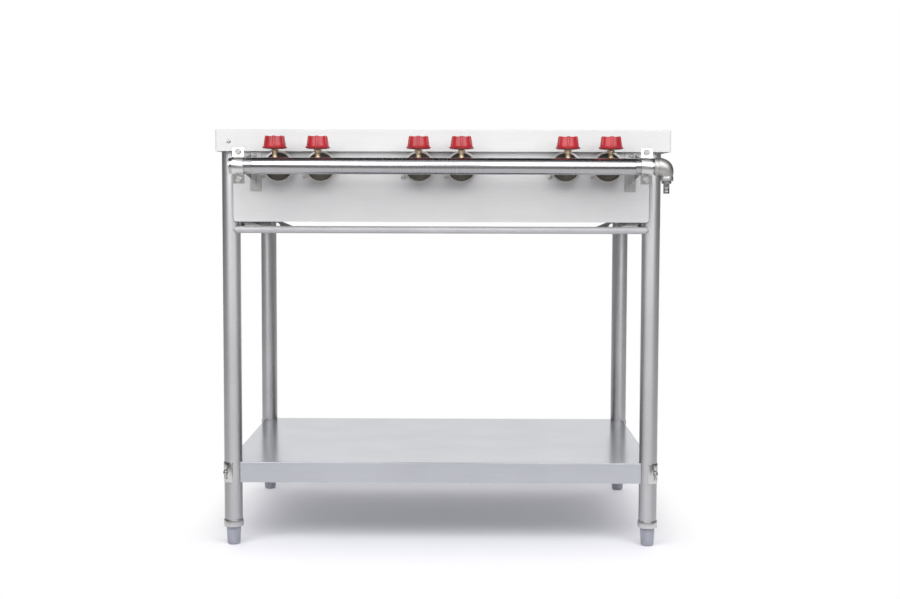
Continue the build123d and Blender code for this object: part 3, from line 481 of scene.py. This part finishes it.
def bead(mesh, points, radius, closed):
    """Adds a rippled weld bead along a line of points; no line runs along the slant."""
    sides = 10
    slant = Vector((0.31, 0.52, 0.79))
    ripple_low = 0.88
    ripple_step = 0.12
    ripple_count = 3
    end_share = 0.4
    last = len(points) - 1
    loops = []
    for index, point in enumerate(points):
        before = points[index - 1] if index or closed else point
        after = points[(index + 1) % len(points)] if index < last or closed else point
        along = (after - before).normalized()
        side = along.cross(slant).normalized()
        over = along.cross(side)
        thickness = radius * (ripple_low + ripple_step * (index % ripple_count))
        if not closed and index in (0, last):
            thickness = radius * end_share
        loop = []
        for k in range(sides):
            angle = 2 * pi * k / sides
            loop.append(mesh.verts.new(point + (side * cos(angle) + over * sin(angle)) * thickness))
        loops.append(loop)
    pairs = list(zip(loops, loops[1:]))
    if closed:
        pairs.append((loops[-1], loops[0]))
    for lower, upper in pairs:
        for k in range(sides):
            after = (k + 1) % sides
            mesh.faces.new((lower[k], lower[after], upper[after], upper[k]))
    if not closed:
        mesh.faces.new(list(reversed(loops[0])))
        mesh.faces.new(loops[-1])


bead_radius = 0.0013
bead_stand_off = 0.0006
front_rail_forward = 0.010
front_gusset_forward = 0.0067
gusset_length = 0.044
gusset_height = 0.0187
gusset_snipe = 0.010
gusset_half = 0.0015
ring_points = 36
leg_bead_steps = 6
rail_bead_steps = 24
ring_angles = [2 * pi * step / ring_points for step in range(ring_points)]
welds = bmesh.new()
for x, y in leg_places.values():
    inward_x = -1 if x > 0 else 1
    inward_y = -1 if y > stove_middle_y else 1
    at_front = inward_y > 0
    rail_z = front_rail_z if at_front else back_rail_z
    rail_ahead = front_rail_forward if at_front else 0.0
    gusset_ahead = front_gusset_forward if at_front else 0.0
    rail_ring = []
    side_ring = []
    for angle in ring_angles:
        across = rail_radius * cos(angle)
        up = rail_radius * sin(angle)
        rail_reach = sqrt(leg_radius**2 - (across - rail_ahead)**2)
        side_reach = sqrt(leg_radius**2 - across**2)
        rail_ring.append(Vector((x + inward_x * rail_reach, y + across - rail_ahead, rail_z + up)))
        side_ring.append(Vector((x + across, y + inward_y * side_reach, front_rail_z + up)))
    bead(welds, rail_ring, bead_radius, closed=True)
    bead(welds, side_ring, bead_radius, closed=True)
    for face in (-1, 1):
        beside = face * (gusset_half + bead_stand_off) - gusset_ahead
        leg_reach = sqrt(leg_radius**2 - beside**2)
        foot_z = rail_z + sqrt(rail_radius**2 - (beside + rail_ahead)**2)
        low_z = rail_z + rail_radius + gusset_snipe
        high_z = rail_z + rail_radius + gusset_height
        near_x = leg_radius + gusset_snipe
        far_x = leg_radius + gusset_length
        up_leg = []
        for k in range(leg_bead_steps + 1):
            z = low_z + (high_z - low_z) * k / leg_bead_steps
            up_leg.append(Vector((x + inward_x * leg_reach, y + beside, z)))
        along_rail = []
        for k in range(rail_bead_steps + 1):
            reach = near_x + (far_x - near_x) * k / rail_bead_steps
            along_rail.append(Vector((x + inward_x * reach, y + beside, foot_z)))
        bead(welds, up_leg, bead_radius, closed=False)
        bead(welds, along_rail, bead_radius, closed=False)
add_piece("frame_welds", welds, weld_metal(), "stove")

# Panels: satin stainless sheets round the burner box, each with flanges turned in at top and bottom and
# spot-welded to the legs. The front one is pierced for the mixing tubes.
panel_finishes = (
    ("satin panel sheet", (14, 800, 800), ["front_panel", "back_panel"]),
    ("satin side sheet", (800, 14, 800), ["left_panel", "right_panel"]),
)
for finish, brushing, panels in panel_finishes:
    panel_steel = steel(
        finish,
        light=(0.60, 0.60, 0.60),
        dark=(0.55, 0.55, 0.555),
        roughness=0.7,
        spread=0.10,
        lines=brushing,
        groove=0.00003,
        metal=0.2,
    )
    dress(panel_steel, panels)

# Top plate: a stainless sheet folded down into a deep rim, with an opening over each burner whose edge
# is turned down. The corners are welded, ground flush and brushed.
plate_steel = steel(
    "satin top sheet",
    light=(0.605, 0.605, 0.605),
    dark=(0.565, 0.565, 0.57),
    roughness=0.7,
    spread=0.10,
    lines=(14, 800, 800),
    groove=0.00003,
    metal=0.2,
)
dress(plate_steel, ["top_plate"])

# Gas pipe: a heavy stainless tube, turned down at its ends for the clamps and plugged at the left. A
# cast elbow on its right end carries a turned hose tail.
pipe_steel = steel(
    "polished gas pipe",
    light=(0.47, 0.465, 0.48),
    dark=(0.41, 0.405, 0.42),
    roughness=0.27,
    spread=0.04,
    lines=(2600, 30, 30),
    groove=0.000004,
    spin_axis="X",
)
dress(pipe_steel, ["manifold_pipe"], edge=0.0006)
dress(socket_steel, ["manifold_cap"], edge=0.0006)
elbow_steel = steel(
    "cast elbow steel",
    light=(0.54, 0.535, 0.525),
    dark=(0.42, 0.415, 0.41),
    roughness=0.5,
    spread=0.2,
    lines=(220, 220, 220),
    groove=0.00012,
)
dress(elbow_steel, ["inlet_elbow"], edge=0.0007)
hose_tail_steel = steel(
    "turned hose tail",
    light=(0.36, 0.355, 0.35),
    dark=(0.25, 0.25, 0.245),
    roughness=0.38,
    spread=0.12,
    lines=(60, 60, 3000),
    groove=0.00004,
)
dress(hose_tail_steel, ["hose_barb"], edge=0.0003)

# Pipe clamps: pressed steel brackets screwed to the front panel, with a strap bolted over each pipe end.
# The bolts are hexagon-headed on washers; the screws have domed heads with a cross recess.
# The brackets are coloured darker than the straps of the same pressed steel: painted shadow of the pipe.
shaded_bracket_steel = steel(
    "bracket plate steel in painted shade",
    light=(0.54, 0.535, 0.53),
    dark=(0.44, 0.435, 0.43),
    roughness=0.5,
    spread=0.14,
    lines=(400, 60, 60),
    groove=0.00003,
)
dress(shaded_bracket_steel, ["pipe_brackets"], edge=0.0003)
strap_steel = steel(
    "pressed strap steel",
    light=(0.70, 0.695, 0.69),
    dark=(0.58, 0.575, 0.57),
    roughness=0.3,
    spread=0.14,
    lines=(400, 60, 60),
    groove=0.00003,
)
dress(strap_steel, ["clamp_straps"], edge=0.0003)
dress(bolt_steel, ["hex_nuts"], edge=0.0004)
pipe_y = -0.3725
pipe_z = 0.8
strap_x = 0.409
strap_bolt_offset = 0.028
strap_bolt_seat = 0.00376
forward = (0, -1, 0)
hex_segments = 48
hex_foot_relief = 0.0002
clamp_washer = 0.001
clamp_bolt_end = -0.0123
clamp_bolt_radius = 0.003
clamp_bolt_chamfer = 0.0006
clamp_head_height = 0.004
clamp_head_flats = 0.01
clamp_head_top_radius = 0.0046
clamp_bolt_rings = [
    (clamp_bolt_end, clamp_bolt_radius - clamp_bolt_chamfer),
    (clamp_bolt_end + clamp_bolt_chamfer, clamp_bolt_radius),
    (clamp_washer, clamp_bolt_radius),
    (clamp_washer, hexagon(clamp_head_flats - hex_foot_relief)),
    (clamp_head_height - clamp_bolt_chamfer, hexagon(clamp_head_flats)),
    (clamp_head_height, clamp_head_top_radius),
]
bolts = bmesh.new()
for side in (-1, 1):
    for level in (-strap_bolt_offset, strap_bolt_offset):
        seat = Vector((side * strap_x, pipe_y - strap_bolt_seat, pipe_z + level))
        washer(bolts, seat, forward, radius=0.0064, thickness=clamp_washer)
        turned(bolts, clamp_bolt_rings, seat, forward, hex_segments)
add_piece("clamp_bolts_detailed", bolts, bolt_steel, "stove", ["clamp_bolts"])

bracket_face = -0.2645
bracket_screw_x = 0.391
bracket_screw_levels = (0.768, 0.824)
rim_face = -0.274
rim_screw_z = 0.852
screw_seats = [
    (side * bracket_screw_x, bracket_face, level) for side in (-1, 1) for level in bracket_screw_levels
]
screw_seats.append((leg_places["front_left"][0], rim_face, rim_screw_z))
screws = bmesh.new()
for seat in screw_seats:
    domed_screw(
        screws,
        seat,
        forward,
        head_radius=0.004,
        head_height=0.0022,
        recess=cross(0.0024, 0.0006),
        recess_depth=0.0013,
        shank_radius=0.0024,
        shank_length=0.016,
    )
add_piece("panel_screws_detailed", screws, bolt_steel, "stove", ["pan_head_screws"])

# Valves: turned and forged brass bodies behind the pipe, each with a gland nut and a spindle above and a
# jet that points into its mixing tube. The brass is bare and slightly tarnished.
valve_offset = 0.0435
burner_x = {"left": -0.296, "middle": -0.005, "right": 0.297}
valve_x = {}
for burner, middle in burner_x.items():
    valve_x[f"{burner}_inner"] = middle - valve_offset
    valve_x[f"{burner}_outer"] = middle + valve_offset


def turned_brass():
    """Brass with tool lines and brown tarnish in patches."""
    brown = (0.14, 0.09, 0.05)
    tarnish_scale = 130.0
    tarnish_share = 0.7
    material, tree, shader, place = new_material("turned brass")
    marks = place_marks(
        tree,
        shader,
        place,
        light=(0.62, 0.50, 0.34),
        dark=(0.42, 0.33, 0.22),
        roughness=0.48,
        spread=0.16,
        lines=(90, 90, 2500),
    )
    patch = noise(tree, place, tarnish_scale, detail=3.0)
    tarnish = remap(tree, patch, low=0.5, high=0.75, to_high=tarnish_share)
    color = blend_colors(tree, tarnish, marks.outputs["Color"], brown)
    tree.links.new(color, shader.inputs["Base Color"])
    shader.inputs["Metallic"].default_value = 1.0
    add_bump(tree, shader, marks.outputs["Height"], strength=0.12, depth=0.00005)
    return material


brass = turned_brass()
dress(brass, ["valve_bodies", "gland_nuts", "gas_jets"], edge=0.0005)
dress(brass, [f"spindle_{valve}" for valve in valve_x])

# Knobs: red moulded plastic caps with six ribs and a lip round the foot. They are pressed on the
# spindles, and turn and rise with them.
knob_red = moulded_plastic(
    "red knob plastic",
    light=(0.38, 0.015, 0.023),
    dark=(0.31, 0.011, 0.017),
    roughness=0.34,
    grain_scale=700.0,
    grain_depth=0.00005,
    coat=0.1,
)
dress(knob_red, [f"knob_{valve}" for valve in valve_x], edge=0.0009)

# Mixing bells and air shutters: dull cast cups on the mixing tubes, and bright pressed sleeves that turn
# on them. A screw through each ear locks the sleeve where it is set.
# The cups are coloured near black, partly their own dark casting and partly painted shade inside the
# mouths.
bell_metal_with_painted_shade = steel(
    "dull cast bell with painted shade",
    light=(0.12, 0.112, 0.10),
    dark=(0.075, 0.07, 0.062),
    roughness=0.6,
    spread=0.14,
    lines=(300, 300, 300),
    groove=0.00012,
)
dress(bell_metal_with_painted_shade, ["mixing_bells"], edge=0.0005)
shutter_steel = steel(
    "pressed shutter steel",
    light=(0.68, 0.675, 0.66),
    dark=(0.56, 0.555, 0.54),
    roughness=0.36,
    spread=0.14,
    lines=(300, 300, 300),
    groove=0.00003,
)
dress(shutter_steel, [f"air_shutter_{valve}" for valve in valve_x], edge=0.0005)
mouth_y = -0.2875
ear_angle = radians(214)
ear_screw_radius = 0.0385
ear_thickness = 0.0016
backward = (0, 1, 0)
nut_bore = 0.0021
nut_flats = 0.007
nut_top = 0.0048
nut_chamfer = 0.0004
nut_top_radius = 0.0032
ear_nut_rings = [
    (ear_thickness, nut_bore),
    (ear_thickness, hexagon(nut_flats - hex_foot_relief)),
    (nut_top - nut_chamfer, hexagon(nut_flats)),
    (nut_top, nut_top_radius),
    (nut_top, nut_bore),
]
ear_screw_z = pipe_z + ear_screw_radius * sin(ear_angle)
for valve, x in valve_x.items():
    screw = bmesh.new()
    seat = (x + ear_screw_radius * cos(ear_angle), mouth_y, ear_screw_z)
    domed_screw(
        screw,
        seat,
        forward,
        head_radius=0.0036,
        head_height=0.0022,
        recess=cross(0.0022, 0.00055),
        recess_depth=0.0012,
        shank_radius=0.002,
        shank_length=0.009,
    )
    turned(screw, ear_nut_rings, seat, backward, hex_segments)
    add_piece(f"ear_screw_{valve}", screw, bolt_steel, f"air_shutter_{valve}")

# Burners and their bars: grey iron castings, two rings and two mixing tubes in one piece, left as cast
# and blackened by use, on flat steel bars.


def cast_iron(name, light, dark, rust, roughness):
    """Cast iron with sand-mould grain and a little brown where heat has dried it."""
    sand_scale = 850.0
    rust_scale = 24.0
    rust_share = 0.5
    gloss_change = 0.08
    material, tree, shader, place = new_material(name)
    sand = noise(tree, place, sand_scale, detail=4.0)
    patch = remap(tree, noise(tree, place, rust_scale, detail=3.0), low=0.4, high=0.7)
    body = blend_colors(tree, sand, dark, light)
    color = blend_colors(tree, calculate(tree, "MULTIPLY", patch, rust_share), body, rust)
    gloss = remap(tree, sand, 0.3, 0.7, roughness - gloss_change, roughness + gloss_change)
    tree.links.new(color, shader.inputs["Base Color"])
    tree.links.new(gloss, shader.inputs["Roughness"])
    shader.inputs["Metallic"].default_value = 0.25
    add_bump(tree, shader, sand, strength=0.5, depth=0.0004)
    return material


burner_iron = cast_iron(
    "burner casting",
    light=(0.075, 0.074, 0.073),
    dark=(0.03, 0.03, 0.031),
    rust=(0.085, 0.055, 0.04),
    roughness=0.62,
)
dress(burner_iron, [f"burner_{burner}" for burner in burner_x], edge=0.0012)
bar_steel = steel(
    "mill flat bar",
    light=(0.42, 0.415, 0.41),
    dark=(0.28, 0.275, 0.27),
    roughness=0.45,
    spread=0.2,
    lines=(200, 20, 200),
    groove=0.00006,
)
dress(bar_steel, ["burner_bars"], edge=0.0005)

# Pan supports: iron castings that lie on the top plate over each burner, a frame with a skirt into the
# opening and eight fingers. They are coated matt black.
support_iron = cast_iron(
    "pan support casting",
    light=(0.055, 0.055, 0.056),
    dark=(0.02, 0.02, 0.021),
    rust=(0.06, 0.045, 0.036),
    roughness=0.5,
)
dress(support_iron, [f"pan_support_{burner}" for burner in burner_x], edge=0.0014)

# Studio: a pale floor sheet that keeps the shadow, a soft box on either side of the camera and one
# overhead. Metal mirrors a room that is dark at the sides, dim in front and white behind the stove.


def light_path_share(tree):
    """One for what is seen, straight or in a reflection, and nought for light that falls on things."""
    path = tree.nodes.new("ShaderNodeLightPath")
    seen = calculate(tree, "MAXIMUM", path.outputs["Is Camera Ray"], path.outputs["Is Glossy Ray"])
    return calculate(tree, "MAXIMUM", seen, path.outputs["Is Transmission Ray"])


floor_front = -1.6
floor_back = 6.0
floor_half = 4.0
floor_data = bpy.data.meshes.new("studio_floor")
floor_data.from_pydata(
    [
        (-floor_half, floor_front, 0.0),
        (floor_half, floor_front, 0.0),
        (floor_half, floor_back, 0.0),
        (-floor_half, floor_back, 0.0),
    ],
    [],
    [(0, 1, 2, 3)],
)
floor = bpy.data.objects.new("studio_floor", floor_data)
bpy.context.scene.collection.objects.link(floor)
floor_paint, floor_tree, floor_shader, floor_place = new_material("pale floor")
floor_shader.inputs["Base Color"].default_value = (0.90, 0.895, 0.95, 1.0)
floor_shader.inputs["Roughness"].default_value = 0.8
floor_shader.inputs["Specular IOR Level"].default_value = 0.1
white = floor_tree.nodes.new("ShaderNodeEmission")
white.inputs["Strength"].default_value = 1.0
spot = floor_tree.nodes.new("ShaderNodeSeparateXYZ")
floor_tree.links.new(floor_place, spot.inputs["Vector"])
shadow_lift = 0.12
sideways = calculate(floor_tree, "ABSOLUTE", spot.outputs["X"], 0.0)
beside = remap(floor_tree, sideways, low=0.42, high=0.58, to_low=shadow_lift)
before = remap(floor_tree, spot.outputs["Y"], low=-0.25, high=-0.6)
behind = remap(floor_tree, spot.outputs["Y"], low=0.5, high=0.9)
far_share = calculate(floor_tree, "MAXIMUM", calculate(floor_tree, "MAXIMUM", beside, before), behind)
white_share = calculate(floor_tree, "MULTIPLY", far_share, light_path_share(floor_tree))
floor_mix = floor_tree.nodes.new("ShaderNodeMixShader")
floor_tree.links.new(white_share, floor_mix.inputs[0])
floor_tree.links.new(floor_shader.outputs["BSDF"], floor_mix.inputs[1])
floor_tree.links.new(white.outputs["Emission"], floor_mix.inputs[2])
floor_tree.links.new(floor_mix.outputs["Shader"], floor_tree.nodes["Material Output"].inputs["Surface"])
floor_data.materials.append(floor_paint)


def soft_box(name, place, target, width, height, watts):
    """A rectangular lamp turned towards a point, out of the camera's sight."""
    lamp = bpy.data.lights.new(name, "AREA")
    lamp.shape = "RECTANGLE"
    lamp.size = width
    lamp.size_y = height
    lamp.energy = watts
    holder = bpy.data.objects.new(name, lamp)
    holder.location = place
    holder.rotation_mode = "QUATERNION"
    holder.rotation_quaternion = (Vector(target) - Vector(place)).to_track_quat("-Z", "Y")
    holder.visible_camera = False
    bpy.context.scene.collection.objects.link(holder)


for side_name, side in (("left", -1), ("right", 1)):
    soft_box(
        f"{side_name} soft box",
        place=(side * 0.8, -1.45, 1.5),
        target=(side * 0.2, 0, 0.7),
        width=1.5,
        height=1.1,
        watts=19.0,
    )
soft_box(
    "top soft box",
    place=(0, -1.28, 2.4),
    target=(0, -1.0, 0.0),
    width=2.4,
    height=1.4,
    watts=8.0,
)

world = bpy.data.worlds.new("studio surround")
bpy.context.scene.world = world
world.use_nodes = True
surround = world.node_tree
surround.nodes.clear()
direction = surround.nodes.new("ShaderNodeSeparateXYZ")
outlook = surround.nodes.new("ShaderNodeTexCoord").outputs["Generated"]
surround.links.new(outlook, direction.inputs["Vector"])
dark_room = 0.03
front_share = remap(surround, direction.outputs["Y"], low=-0.92, high=-0.7, to_low=1.0, to_high=0.0)
front_light = remap(surround, direction.outputs["Z"], low=-0.06, high=0.04, to_low=0.35, to_high=0.25)
back_share = remap(surround, direction.outputs["Y"], low=0.75, high=0.95, to_high=1.0 - dark_room)
reflected = calculate(surround, "MULTIPLY", front_share, front_light)
reflected = calculate(surround, "ADD", calculate(surround, "ADD", reflected, back_share), dark_room)
path = surround.nodes.new("ShaderNodeLightPath")
seen = calculate(surround, "MAXIMUM", path.outputs["Is Camera Ray"], path.outputs["Is Transmission Ray"])
mirrored = calculate(surround, "MULTIPLY", path.outputs["Is Glossy Ray"], reflected)
direct = calculate(surround, "MAXIMUM", seen, mirrored)
unseen = calculate(surround, "SUBTRACT", 1.0, light_path_share(surround))
fill = remap(surround, direction.outputs["Y"], low=-0.3, high=0.5, to_low=0.4)
strength = calculate(surround, "ADD", direct, calculate(surround, "MULTIPLY", unseen, fill))
sky = surround.nodes.new("ShaderNodeBackground")
sky.inputs["Color"].default_value = (1.0, 1.0, 1.0, 1.0)
surround.links.new(strength, sky.inputs["Strength"])
horizon = surround.nodes.new("ShaderNodeOutputWorld")
surround.links.new(sky.outputs["Background"], horizon.inputs["Surface"])

# Camera: in front of the stove, a little below the rim, with the photograph's slight tilt and turn. Its
# place and its lens were fitted to the legs, the rim, the shelf and the feet.
camera_place = (0.0379, -3.3419, 0.7405)
yaw = 0.0073
pitch = 0.07011
roll = 0.0026
right = Vector((cos(yaw), sin(yaw), 0))
level_ahead = Vector((-sin(yaw), cos(yaw), 0))
upright = Vector((0, 0, 1))
ahead = level_ahead * cos(pitch) - upright * sin(pitch)
over = upright * cos(pitch) + level_ahead * sin(pitch)
camera_x = right * cos(roll) + over * sin(roll)
camera_y = over * cos(roll) - right * sin(roll)
camera_turn = Matrix((camera_x, camera_y, -ahead)).transposed().to_4x4()
lens = bpy.data.cameras.new("photograph")
lens.sensor_fit = "HORIZONTAL"
lens.sensor_width = 36.0
lens.lens = 59.02
camera = bpy.data.objects.new("photograph", lens)
camera.matrix_world = Matrix.Translation(camera_place) @ camera_turn
bpy.context.scene.collection.objects.link(camera)
bpy.context.scene.camera = camera
bpy.context.scene.view_settings.view_transform = "Standard"
